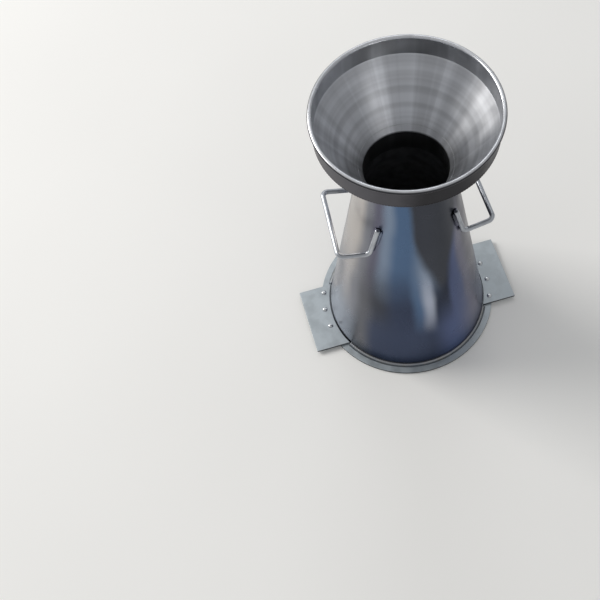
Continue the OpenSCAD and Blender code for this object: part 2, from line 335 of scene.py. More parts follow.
def plated_sheet_painted_reflections(tree, place, colours):
    """Rolled mild-steel sheet, zinc plated and clear passivated.

    A smooth half-gloss skin whose colour is painted reflection: tints set round the cone from straw through blue to
    violet, deeper near the foot, stand for the surroundings mirrored in the steel. Handling leaves soft smudges in the
    gloss, and the rolling leaves long shallow waves.
    """
    straw, smoke, sky, blue = colours.reflection_straw, colours.reflection_smoke, colours.reflection_sky, colours.reflection_blue
    navy, slate, lilac, violet = colours.reflection_navy, colours.reflection_slate, colours.reflection_lilac, colours.reflection_violet
    indigo, deep, dusk, dim = colours.reflection_indigo, shaded(navy, 0.6), shaded(violet, 0.38), shaded(smoke, 0.55)
    drift_mm, smudge_mm, wave_mm, warp_mm = 90, 34, 80, 16
    # The bands of painted reflection wander sideways, and three times as far up and down
    drift = add(tree, "TexNoise", {"Vector": place, "Scale": 1000 / drift_mm, "Detail": 2.0})
    centred = add(tree, "VectorMath", {0: drift.outputs["Color"], 1: grey(0.5)}, operation="SUBTRACT")
    reach = (warp_mm * MM, warp_mm * MM, 3 * warp_mm * MM)
    bent = add(tree, "VectorMath", {0: centred, 1: reach, 2: place}, operation="MULTIPLY_ADD")
    height = add(tree, "SeparateXYZ", {"Vector": bent}).outputs["Z"]
    turn = add(tree, "TexGradient", {"Vector": bent}, gradient_type="RADIAL").outputs["Fac"]
    # The lower bands lean: they turn by this angle in each metre of height
    lean = radians(40)
    angle = add(tree, "Math", {0: height, 1: lean}, operation="MULTIPLY")
    leaned = add(tree, "VectorRotate", {"Vector": bent, "Angle": angle}, rotation_type="Z_AXIS")
    low_turn = add(tree, "TexGradient", {"Vector": leaned}, gradient_type="RADIAL").outputs["Fac"]
    # Three rings of painted reflection, for the top, the middle and the foot: each tint stands where the steel mirrors
    # light or dark surroundings
    upper = add(tree, "ValToRGB", {"Fac": turn}, round_stops([
        (-180, straw), (-167, straw), (-152, smoke), (-141, shaded(violet, 0.75)), (-129, sky), (-117, blue),
        (-108, blue), (-90, sky), (-82, sky), (-71, deep), (-58, indigo), (-49, violet), (-36, dusk),
        (-12, shaded(dusk, 0.7)), (20, smoke), (48, straw), (75, blue), (100, navy), (125, violet), (150, smoke),
        (172, straw)]))
    # The pale lilac stops near the front make a painted highlight: a reflected light drawn in as a leaning stripe
    lower = add(tree, "ValToRGB", {"Fac": low_turn}, round_stops([
        (-180, smoke), (-165, shaded(straw, 0.8, 0.83, 0.9)), (-152, smoke), (-140, dim), (-128, slate),
        (-112, navy), (-102, navy), (-93, blue), (-84, lilac), (-82, lilac), (-75, deep), (-66, deep),
        (-59, indigo), (-50, indigo), (-42, violet), (-26, shaded(violet, 0.42)), (-8, shaded(violet, 0.36)),
        (30, smoke), (62, lilac), (90, navy), (115, navy), (140, blue), (160, smoke)]))
    # Painted light: the foot's tints are lifted, standing for brighter surroundings mirrored low on the cone
    foot_painted_lift = 1.22
    foot = add(tree, "ValToRGB", {"Fac": turn}, round_stops([(at, shaded(tint, foot_painted_lift)) for at, tint in [
        (-180, smoke), (-160, smoke), (-146, dim), (-132, navy), (-88, navy), (-66, indigo), (-40, violet),
        (-15, violet), (20, smoke), (70, navy), (115, navy), (150, smoke)]]))
    # Between two heights the foot's tints give way to the lower ones, and further up those to the upper ones
    tint = foot
    for next_tint, start_mm, end_mm in ((lower, 52, 132), (upper, 115, 210)):
        share = add(tree, "MapRange", {"Value": height, "From Min": start_mm * MM, "From Max": end_mm * MM},
                    interpolation_type="SMOOTHSTEP")
        tint = add(tree, "Mix", {MIX: share, UNDER: tint, OVER: next_tint}, data_type="RGBA")
    # A dark point of the darkest tint hangs from the mouth, a painted dark reflection. Each of its three sides has a
    # slant, in metres of height for a full turn, the level where that slant starts, and half the width of its soft
    # edge
    inside = 1.0
    for slant, level, soft in ((36.0, 7.95, 0.5), (1.296, 0.518, 0.022), (-1.404, -0.273, 0.025)):
        side = add(tree, "Math", {0: turn, 1: slant, 2: height}, operation="MULTIPLY_ADD")
        past = add(tree, "MapRange", {"Value": side, "From Min": level - soft, "From Max": level + soft},
                   interpolation_type="SMOOTHSTEP")
        inside = add(tree, "Math", {0: past, 1: inside}, operation="MULTIPLY")
    tint = add(tree, "Mix", {MIX: inside, UNDER: tint, OVER: (*slate, 1.0)}, data_type="RGBA")
    smudge = add(tree, "TexNoise", {"Vector": place, "Scale": 1000 / smudge_mm, "Detail": 5.0})
    gloss = add(tree, "MapRange", {**NOISE_SPAN, "Value": smudge, "To Min": 0.24, "To Max": 0.36})
    wave = add(tree, "TexNoise", {"Vector": place, "Scale": 1000 / wave_mm, "Detail": 1.0})
    bump = add(tree, "Bump", {"Height": wave, "Strength": 0.12, "Distance": 0.6 * MM})
    return {"Base Color": tint, "Metallic": 1.0, "Roughness": gloss, "Normal": bump}


def dark_matt_inside_steel(tree, place, colours):
    """Dark, matt and mottled half-metallic steel for the mould's inside."""
    stain_mm = 12
    stain, tint = mottle(tree, place, stain_mm, 6.0, [(0.3, shaded(colours.inside, 0.55)), (0.7, colours.inside)])
    bump = add(tree, "Bump", {"Height": stain, "Strength": 0.3, "Distance": 0.2 * MM})
    return {"Base Color": tint, "Metallic": 0.6, "Roughness": 0.6, "Normal": bump}


def zinc_plated_plate(tree, place, colours):
    """Flat steel plate, zinc plated: satin, with a faint cloudy bloom and fine handling scratches."""
    # Real scratches are about a tenth as wide, too fine to show. They run askew and are long for their width
    cloud_mm, scratch_mm, scratch_turn, scratch_slim = 16, 1.2, 0.6, 0.06
    cloud, tint = mottle(tree, place, cloud_mm, 3.0, [(0.32, shaded(colours.plate, 0.84)), (0.62, colours.plate)])
    gloss = add(tree, "MapRange", {**NOISE_SPAN, "Value": cloud, "To Min": 0.45, "To Max": 0.58})
    along = add(tree, "Mapping", {"Vector": place, "Rotation": (0, 0, scratch_turn), "Scale": (1, scratch_slim, 1)})
    scratch = add(tree, "TexNoise", {"Vector": along, "Scale": 1000 / scratch_mm, "Detail": 3.0})
    bump = add(tree, "Bump", {"Height": scratch, "Strength": 0.1, "Distance": 0.05 * MM})
    return {"Base Color": tint, "Metallic": 1.0, "Roughness": gloss, "Normal": bump}


def cut_edge_and_painted_shade(tree, place, colours):
    """Cut edge of steel plate, made after plating: dull and torn ragged. Its dark colour is partly raw steel and
    partly painted shade.
    """
    tear_mm = 2.2
    tear, tint = mottle(tree, place, tear_mm, 4.0, [(0.35, shaded(colours.cut_edge_and_shade, 0.7)), (0.7, colours.cut_edge_and_shade)])
    bump = add(tree, "Bump", {"Height": tear, "Strength": 0.3, "Distance": 0.15 * MM})
    return {"Base Color": tint, "Metallic": 0.9, "Roughness": 0.5, "Normal": bump}


def bright_zinc_rod(tree, place, colours):
    """Drawn steel rod, bright zinc plated: shiny, with a little dulling where hands rub it."""
    rub_mm = 12
    rub, tint = mottle(tree, place, rub_mm, 3.0, [(0.3, shaded(colours.rod, 0.84)), (0.55, colours.rod)])
    gloss = add(tree, "MapRange", {"Value": rub, "From Min": 0.35, "From Max": 0.7, "To Min": 0.36, "To Max": 0.26})
    return {"Base Color": tint, "Metallic": 1.0, "Roughness": gloss}


def headed_rivet_steel(tree, place, colours):
    """Cold-headed rivet steel: bright crowns with a peened, slightly dimpled skin."""
    dimple_mm = 1.6
    dimple, tint = mottle(tree, place, dimple_mm, 2.0, [(0.35, shaded(colours.rivet, 0.75)), (0.6, colours.rivet)])
    bump = add(tree, "Bump", {"Height": dimple, "Strength": 0.2, "Distance": 0.15 * MM})
    return {"Base Color": tint, "Metallic": 1.0, "Roughness": 0.26, "Normal": bump}


def brushed_weld_metal(tree, place, colours):
    """Wire-brushed weld metal: grey with faint straw and blue heat tints, rougher than the sheet."""
    # The wires' real scratches are finer than this grain and wouldn't show
    heat_mm, grain_mm = 14, 0.9
    bluish, strawy = shaded(colours.weld, 0.82, 0.86, 0.93), shaded(colours.weld, 1.0, 0.97, 0.9)
    tint = mottle(tree, place, heat_mm, 3.0, [(0.3, bluish), (0.5, colours.weld), (0.7, strawy)])[1]
    grain = add(tree, "TexNoise", {"Vector": place, "Scale": 1000 / grain_mm, "Detail": 3.0})
    bump = add(tree, "Bump", {"Height": grain, "Strength": 0.2, "Distance": 0.1 * MM})
    return {"Base Color": tint, "Metallic": 1.0, "Roughness": 0.4, "Normal": bump}


def spun_sheet_steel(tree, place, colours, painted_shade_share=1.0):
    """Spun steel sheet: the roller leaves fine rings round the axis, so highlights run down the slope.

    Broader rings and slight flats down the slope are a little lighter or darker than the rest.
    """
    # Real rings are about a third as wide, too fine to show. The flats are spaced so at the middle of the slope
    ring_mm, step_mm, smudge_mm, flat_mm, middle_mm = 0.9, 9, 26, 15, 70
    # A share under one darkens the steel as painted shade
    steel = shaded(colours.spun, painted_shade_share)
    level, radius = from_axis(tree, place)
    rings, bands = [
        add(tree, "TexNoise", {"W": radius, "Scale": 1000 / size_mm, "Detail": 2.0}, noise_dimensions="1D")
        for size_mm in (ring_mm, step_mm)]
    ringed = add(tree, "ValToRGB", {"Fac": bands}, [(0.34, shaded(steel, 0.78)), (0.64, steel)])
    around = add(tree, "VectorMath", {0: level}, operation="NORMALIZE")
    flats = add(tree, "TexNoise", {"Vector": around, "Scale": middle_mm / flat_mm, "Detail": 2.0})
    streak = add(tree, "ValToRGB", {"Fac": flats}, [(0.38, grey(0.88)), (0.5, grey(0.98)), (0.62, grey(1.13))])
    tint = add(tree, "Mix", {MIX: 1.0, UNDER: ringed, OVER: streak}, data_type="RGBA", blend_type="MULTIPLY")
    smudge = add(tree, "TexNoise", {"Vector": place, "Scale": 1000 / smudge_mm, "Detail": 4.0})
    gloss = add(tree, "MapRange", {**NOISE_SPAN, "Value": smudge, "To Min": 0.28, "To Max": 0.4})
    flat = add(tree, "Bump", {"Height": flats, "Strength": 0.3, "Distance": 0.8 * MM})
    coarse = add(tree, "Bump", {"Height": bands, "Strength": 0.16, "Distance": 0.2 * MM, "Normal": flat})
    fine = add(tree, "Bump", {"Height": rings, "Strength": 0.12, "Distance": 0.04 * MM, "Normal": coarse})
    along = add(tree, "Tangent", direction_type="RADIAL", axis="Z")
    return {"Base Color": tint, "Metallic": 1.0, "Roughness": gloss, "Anisotropic": 0.7, "Anisotropic Rotation": 0.25,
            "Tangent": along, "Normal": fine}


def spun_steel_painted_shade(tree, place, colours):
    """The spun sheet's other side: the same rings and gloss, on steel darkened as painted shade."""
    return spun_sheet_steel(tree, place, colours, painted_shade_share=0.26)


def roll_burnish_and_painted_shade(tree, place, colours):
    """The rim's roll: glossier where hands and shovels burnish it, and painted dark as shade towards its outer side.
    """
    # The painted shade comes in between two distances in from the roll's outermost line
    rub_mm, shade_from_mm, shade_full_mm = 15, 1.5, 0.3
    rub, crest = mottle(tree, place, rub_mm, 4.0, [(0.3, shaded(colours.spun, 0.8)), (0.65, colours.spun)])
    radius = from_axis(tree, place)[1]
    rim_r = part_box("funnel_rim_band")[1].x
    dull = add(tree, "MapRange", {"Value": radius, "From Min": rim_r - shade_from_mm * MM, "From Max": rim_r - shade_full_mm * MM},
               interpolation_type="SMOOTHSTEP")
    # Painted shade: the roll's outer side is dark grey, half as light as the band's outside
    tint = add(tree, "Mix", {MIX: dull, UNDER: crest, OVER: (*shaded(colours.mill_and_shade, 0.5), 1.0)}, data_type="RGBA")
    gloss = add(tree, "MapRange", {**NOISE_SPAN, "Value": rub, "To Min": 0.34, "To Max": 0.24})
    return {"Base Color": tint, "Metallic": 1.0, "Roughness": gloss}


def mill_sheet_and_painted_shade(tree, place, colours):
    """Cold-rolled sheet left as rolled: dull, with cloudy stains. Its dark grey is partly painted shade, and it is
    painted lighter at the front left and darker at the front, as light and shade.
    """
    stain_mm = 18
    stain, stained = mottle(tree, place, stain_mm, 5.0, [(0.3, shaded(colours.mill_and_shade, 0.78)), (0.7, colours.mill_and_shade)])
    turn = add(tree, "TexGradient", {"Vector": place}, gradient_type="RADIAL").outputs["Fac"]
    # Painted light and shade round the band: lighter at the front left, darker from the front to the front right
    full, lit_side, dark = grey(1.0), grey(1.2), grey(0.34)
    side = add(tree, "ValToRGB", {"Fac": turn}, round_stops([
        (-180, full), (-135, lit_side), (-115, full), (-95, dark), (-60, dark), (-25, full), (180, full)]))
    tint = add(tree, "Mix", {MIX: 1.0, UNDER: stained, OVER: side}, data_type="RGBA", blend_type="MULTIPLY")
    gloss = add(tree, "MapRange", {**NOISE_SPAN, "Value": stain, "To Min": 0.34, "To Max": 0.48})
    return {"Base Color": tint, "Metallic": 1.0, "Roughness": gloss}


def pale_floor(tree, place, colours):
    """Matt pale board with the faintest cloudiness."""
    cloud_mm = 400
    tint = mottle(tree, place, cloud_mm, 2.0, [(0.3, shaded(colours.floor, 0.98)), (0.7, colours.floor)])[1]
    return {"Base Color": tint, "Roughness": 0.9, "Specular IOR Level": 0.1}


# Shapes


def only(kind, geom):
    """The vertices, or else the edges, among what an operator gives back."""
    return [g for g in geom if isinstance(g, kind)]


def rounded(bm, geom, radius, segments, affect="VERTICES"):
    """Rounds off an outline's corners, or a shape's edges."""
    bmesh.ops.bevel(bm, geom=geom, offset=radius, offset_type="OFFSET", segments=segments, profile=0.5, affect=affect,
                    material=-1, clamp_overlap=True)


def capped(bm):
    """Closes a shape's open ends and turns its faces outwards."""
    bmesh.ops.holes_fill(bm, edges=[e for e in bm.edges if e.is_boundary], sides=0)
    bmesh.ops.recalc_face_normals(bm, faces=bm.faces)


def outline(corners, rounds=(), segments=4):
    """A closed outline of (radius, height) corners; rounds holds each corner's rounding in turn."""
    bm = bmesh.new()
    verts = [bm.verts.new((r, 0, z)) for r, z in corners]
    for a, b in zip(verts, verts[1:] + verts[:1]):
        bm.edges.new((a, b))
    for vert, radius in zip(verts, rounds):
        rounded(bm, [vert], radius, segments)
    bmesh.ops.remove_doubles(bm, verts=bm.verts, dist=SAME)
    return bm


def spun(bm, steps=ROUND_STEPS, start=0.0, turn=tau):
    """Turns an outline round the axis, all the way or from one direction through an angle."""
    bm.transform(Matrix.Rotation(start, 4, "Z"))
    bmesh.ops.spin(bm, geom=bm.verts[:] + bm.edges[:], cent=(0, 0, 0), axis=(0, 0, 1), angle=turn, steps=steps,
                   use_merge=turn == tau)
    capped(bm)
    return bm


def soften(bm, width, segments=3):
    """Rounds off every sharp edge."""
    sharp = [e for e in bm.edges if e.is_manifold and e.calc_face_angle(0.0) > SHARP]
    rounded(bm, sharp, width, segments, affect="EDGES")
    bmesh.ops.remove_doubles(bm, verts=bm.verts, dist=SAME)


def ripple(bm, sizes, along, crown=lambda place: 1.0):
    """Raises the ripples of a weld run: along gives a vertex's place on the run, crown how far it may move."""
    bm.normal_update()
    lifts = []
    for vert in bm.verts:
        phase = along(vert.co) / sizes.ripple_pitch % 1.0
        rise = sin(pi * phase) ** RIPPLE_BLUNT - RIPPLE_SINK
        lifts.append(vert.normal * sizes.ripple_rise * crown(vert.co) * rise)
    for vert, lift in zip(bm.verts, lifts):
        vert.co += lift


def bead(start, end, radius, sizes, flat=1.0, out=Vector((1, 0, 0))):
    """A straight rippled weld bead from start to end; flat squeezes its height, measured along out."""
    run = end - start
    bm = bmesh.new()
    bmesh.ops.create_cone(bm, cap_ends=True, segments=BEAD_SIDES, radius1=radius, radius2=radius, depth=run.length)
    long_edges = [e for e in bm.edges if abs((e.verts[0].co - e.verts[1].co).z) > run.length / 2]
    cuts = int(run.length / sizes.ripple_pitch * RIPPLE_STEPS)
    bmesh.ops.subdivide_edges(bm, edges=long_edges, cuts=max(2, cuts))
    ripple(bm, sizes, lambda p: p.z + RIPPLE_TRAIL * abs(p.y))
    # Both ends run out in a rounded taper
    taper = min(3 * radius, run.length / 3)
    for vert in bm.verts:
        into = max(0.0, abs(vert.co.z) - run.length / 2 + taper) / taper
        vert.co.xy *= sqrt(max(TAPER_END, 1 - into ** 2))
    up = run.normalized()
    side = up.cross(out).normalized()
    face = side.cross(up)
    turn = Matrix((face, side, up)).transposed().to_4x4()
    squeeze = Matrix.Diagonal((flat, 1, 1, 1))
    bm.transform(Matrix.Translation((start + end) / 2) @ turn @ squeeze)
    return bm


def bent_rod(path, radius, bend, sides=28, bend_steps=12):
    """A round rod along a path of corner points, with the same radius at every bend."""
    bm = bmesh.new()
    along = (path[1] - path[0]).normalized()
    place = Matrix.Translation(path[0]) @ along.to_track_quat("Z", "Y").to_matrix().to_4x4()
    bmesh.ops.create_circle(bm, cap_ends=False, segments=sides, radius=radius, matrix=place)
    loop = bm.edges[:]
    here = path[0]
    for i in range(1, len(path)):
        last = i == len(path) - 1
        before = (path[i] - path[i - 1]).normalized()
        after = before if last else (path[i + 1] - path[i]).normalized()
        turn = before.angle(after)
        there = path[i] - before * (bend * tan(turn / 2))
        drawn = bmesh.ops.extrude_edge_only(bm, edges=loop)["geom"]
        bmesh.ops.translate(bm, verts=only(BMVert, drawn), vec=there - here)
        loop = [e for e in only(BMEdge, drawn) if e.is_boundary]
        if last:
            break
        axis = before.cross(after).normalized()
        hub = there + axis.cross(before) * bend
        ring = list(dict.fromkeys(v for e in loop for v in e.verts))
        swung = bmesh.ops.spin(bm, geom=ring + loop, cent=hub, axis=axis, angle=turn, steps=bend_steps)
        loop = only(BMEdge, swung["geom_last"])
        here = path[i] + after * (bend * tan(turn / 2))
    capped(bm)
    return bm


def joined(shapes):
    """Several shapes as one, each still a closed body of its own."""
    whole = bmesh.new()
    for shape in shapes:
        part = bpy.data.meshes.new("part")
        shape.to_mesh(part)
        shape.free()
        whole.from_mesh(part)
        bpy.data.meshes.remove(part)
    return whole


def outward(face):
    """Whether a face looks away from the axis."""
    return face.normal.xy.dot(face.calc_center_median().xy) > 0


def upright(face):
    """Whether a face stands upright, as a plate's cut edge does."""
    return abs(face.normal.z) < UPRIGHT


def dressed(bm, number):
    """Gives each face the number of its finish among the piece's finishes."""
    bm.normal_update()
    for face in bm.faces:
        face.material_index = int(number(face))
    return bm


def placed(name, data):
    """A new object of that name in the scene."""
    made = bpy.data.objects.new(name, data)
    bpy.context.scene.collection.objects.link(made)
    return made


def solid(name, bm, finishes):
    """A new object of a shape, with its finishes."""
    mesh = bpy.data.meshes.new(name)
    bm.to_mesh(mesh)
    bm.free()
    for maker in finishes:
        mesh.materials.append(finish_of(maker))
    return placed(name, mesh)


def piece(name, bm, finishes, body, node):
    """Makes a smooth piece of a shape and lets it stand for its CAD node."""
    for face in bm.faces:
        face.smooth = True
    made = solid(name, bm, finishes)
    made.modifiers.new("even_shading", "WEIGHTED_NORMAL")
    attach(made, body)
    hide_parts(node)


def handle_path(sizes):
    """Corner points of the right-hand handle's rod, from its rear tail round to its front one."""
    arm_y = sizes.handle_span / 2
    offset = (sizes.rod_diameter / 2 + sizes.tail_gap) / cos(WALL_LEAN)
    tip_z = MOULD_H - sizes.tail_drop
    foot_z = tip_z - sizes.tail_rise
    tip_x, foot_x = [sqrt((wall(z) + offset) ** 2 - arm_y ** 2) for z in (tip_z, foot_z)]
    grip_x = foot_x + sizes.handle_stand * cos(sizes.handle_rise)
    grip_z = foot_z + sizes.handle_stand * sin(sizes.handle_rise)
    rear = [Vector((tip_x, arm_y, tip_z)), Vector((foot_x, arm_y, foot_z)), Vector((grip_x, arm_y, grip_z))]
    return rear + [Vector((p.x, -p.y, p.z)) for p in reversed(rear)]


# Operators


class SLUMP_OT_mould_shell(Operator):
    """Rolls the conical mould, bright outside and dull inside, and welds its seam"""

    bl_idname = "slump.mould_shell"
    bl_label = "Mould Shell"

    def execute(self, context):
        sizes = context.scene.slump_sizes
        corners = [(FOOT_IN, 0), (FOOT_OUT, 0), (MOUTH_OUT, MOULD_H), (MOUTH_IN, MOULD_H)]
        shell = dressed(spun(outline(corners, [sizes.sheet_round] * 4)), lambda face: not outward(face))
        # The outside carries the sheet's painted reflections; the inside is dark, matt steel
        piece("mould_shell", shell, [plated_sheet_painted_reflections, dark_matt_inside_steel], "mould", "cone_shell")
        low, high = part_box("shell_seam_weld")
        rise = high.y - wall(low.z)
        ends = [Vector((0, wall(z), z)) for z in (low.z, high.z)]
        seam = bead(*ends, (high.x - low.x) / 2, sizes, flat=rise / high.x, out=Vector((0, 1, 0)))
        # The seam weld carries the sheet's painted reflections too
        piece("shell_seam", seam, [plated_sheet_painted_reflections], "mould", "shell_seam_weld")
        return {"FINISHED"}


class SLUMP_OT_base_ring(Operator):
    """Turns the base ring and lays the two fillet welds that join it to the mould"""

    bl_idname = "slump.base_ring"
    bl_label = "Base Ring"

    def execute(self, context):
        sizes = context.scene.slump_sizes
        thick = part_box("base_ring")[1].z
        foot_in, out = level_radii("base_ring", top=False)
        top_in = level_radii("base_ring", top=True)[0]
        corners = [(foot_in, 0), (out, 0), (out, thick), (top_in, thick)]
        ring = spun(outline(corners, [CRISP, sizes.plate_round, sizes.plate_round, CRISP]))
        # The ring's outer cut edge takes the dark finish, partly painted shade for its shadow line
        dressed(ring, lambda face: outward(face) and upright(face))
        piece("base_flange", ring, [zinc_plated_plate, cut_edge_and_painted_shade], "mould", "base_ring")
        for end, middle in (("rear", pi / 2), ("front", -pi / 2)):
            self.fillet(sizes, end, middle)
        return {"FINISHED"}

    def fillet(self, sizes, end, middle, ripple_steps=6):
        """One run of fillet weld, centred on a direction round the axis."""
        node = f"{end}_base_weld"
        low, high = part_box(node)
        root, toe = level_radii(node, top=False)
        top = level_radii(node, top=True)[0]
        half = asin(high.x / toe)
        crest = ((toe + top) / 2, (low.z + high.z) / 2)
        steps = int(2 * half * toe / sizes.ripple_pitch * ripple_steps)
        corners = [(root, low.z), (toe, low.z), crest, (top, high.z)]
        bm = spun(outline(corners), steps=steps, start=middle - half, turn=2 * half)
        # Only the crest is rippled
        ripple(bm, sizes, lambda p: atan2(p.y, p.x) % tau * toe,
               lambda p: 1.0 if abs(p.xy.length - crest[0]) < (toe - top) / 3 else 0.0)
        piece(f"{end}_base_fillet", bm, [brushed_weld_metal], "mould", node)


class SLUMP_OT_foot_plates(Operator):
    """Cuts the two foot plates to the mould's curve and rivets them to the ring"""

    bl_idname = "slump.foot_plates"
    bl_label = "Foot Plates"

    def execute(self, context):
        sizes = context.scene.slump_sizes
        for side in SIDES:
            bm = self.plate()
            soften(bm, sizes.plate_round)
            # The plates' upright cut edges take the dark finish, partly painted shade for the shadow under them
            dressed(bm, upright)
            if side == "left":
                bm.transform(Matrix.Rotation(pi, 4, "Z"))
            piece(f"{side}_step", bm, [zinc_plated_plate, cut_edge_and_painted_shade], "mould",
                  f"{side}_foot_plate")
            rivets = joined([self.rivet(*box) for box in solids_of(f"{side}_foot_rivets")])
            piece(f"{side}_step_rivets", rivets, [headed_rivet_steel], "mould", f"{side}_foot_rivets")
        return {"FINISHED"}

    def plate(self, arc_steps=60):
        """The right-hand plate: an arc round the mould, drawn out to a straight outer edge."""
        low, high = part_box("right_foot_plate")
        arc_r = min(p.xy.length for p in points_of("right_foot_plate"))
        half = asin(high.y / arc_r)
        bm = bmesh.new()
        first = bm.verts.new((arc_r * cos(half), -high.y, low.z))
        swept = bmesh.ops.spin(bm, geom=[first], cent=(0, 0, 0), axis=(0, 0, 1), angle=2 * half, steps=arc_steps)
        last = only(BMVert, swept["geom_last"])[0]
        drawn = bmesh.ops.extrude_vert_indiv(bm, verts=[first, last])
        for vert in drawn["verts"]:
            vert.co.x = high.x
        bmesh.ops.contextual_create(bm, geom=drawn["verts"])
        bmesh.ops.contextual_create(bm, geom=bm.edges[:])
        raised = bmesh.ops.extrude_face_region(bm, geom=bm.faces[:])
        bmesh.ops.translate(bm, verts=only(BMVert, raised["geom"]), vec=(0, 0, high.z - low.z))
        bmesh.ops.recalc_face_normals(bm, faces=bm.faces)
        return bm

    def rivet(self, low, high, steps=32, segments=5):
        """One rivet: a domed head on the plate, a shank and a tail flush under the ring."""
        centre = (low + high) / 2
        head_r = (high.x - low.x) / 2
        tail_r, shank_r, crown_r = [head_r * share for share in (0.78, 0.57, 0.72)]
        tail_h, edge_round, crown_round = 1 * MM, 0.25 * MM, 1.6 * MM
        seat_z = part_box("right_foot_plate")[1].z
        bm = bmesh.new()
        tail = [bm.verts.new((r, 0, z)) for r, z in (
            (0, low.z), (tail_r, low.z), (shank_r, low.z + tail_h), (shank_r, seat_z))]
        edge, crown, top = [bm.verts.new((r, 0, z)) for r, z in ((head_r, seat_z), (crown_r, high.z), (0, high.z))]
        profile = [*tail, edge, crown, top]
        for a, b in zip(profile, profile[1:]):
            bm.edges.new((a, b))
        rounded(bm, [edge], edge_round, segments)
        rounded(bm, [crown], crown_round, segments)
        spun(bm, steps)
        bmesh.ops.remove_doubles(bm, verts=bm.verts, dist=TOUCH)
        bmesh.ops.recalc_face_normals(bm, faces=bm.faces)
        bm.transform(Matrix.Translation((centre.x, centre.y, 0)))
        return bm


class SLUMP_OT_handles(Operator):
    """Bends the two handles from round rod and welds their tails to the mould"""

    bl_idname = "slump.handles"
    bl_label = "Handles"

    def execute(self, context):
        sizes = context.scene.slump_sizes
        turned = {"right": Matrix.Identity(4), "left": Matrix.Rotation(sizes.left_handle_turn, 4, "Z")}
        for side in SIDES:
            rod = bent_rod(handle_path(sizes), sizes.rod_diameter / 2, sizes.rod_bend)
            soften(rod, sizes.rod_diameter / 4, segments=5)
            rod.transform(turned[side])
            piece(f"{side}_grip", rod, [bright_zinc_rod], "mould", f"{side}_handle")
        for side, end, sign in TAILS:
            welds = self.tail_beads(sizes, sign)
            welds.transform(turned[side])
            # The tail beads carry the sheet's painted reflections too
            piece(f"{side}_{end}_tail_welds", welds, [plated_sheet_painted_reflections], "mould",
                  f"{side}_handle_{end}_weld")
        return {"FINISHED"}

    def tail_beads(self, sizes, sign):
        """The beads on both sides of one tail of the right-hand handle, in the corner with the wall."""
        path = handle_path(sizes)
        tip, foot = (path[0], path[1]) if sign > 0 else (path[-1], path[-2])
        up = (tip - foot).normalized()
        turn = atan2(tip.y, (tip.x + foot.x) / 2)
        level = cos(WALL_LEAN)
        out = Vector((cos(turn) * level, sin(turn) * level, sin(WALL_LEAN)))
        beside = up.cross(out).normalized()
        radius = sizes.tail_weld_diameter / 2
        rod_r = sizes.rod_diameter / 2
        drop = rod_r + sizes.tail_gap - radius / 2
        aside = sqrt((rod_r + radius) ** 2 - drop ** 2) - radius / 4
        ends = [tip - up * back - out * drop for back in (sizes.tail_weld_length + radius, radius)]
        return joined([bead(*[e + beside * hand * aside for e in ends], radius, sizes, out=out) for hand in (-1, 1)])


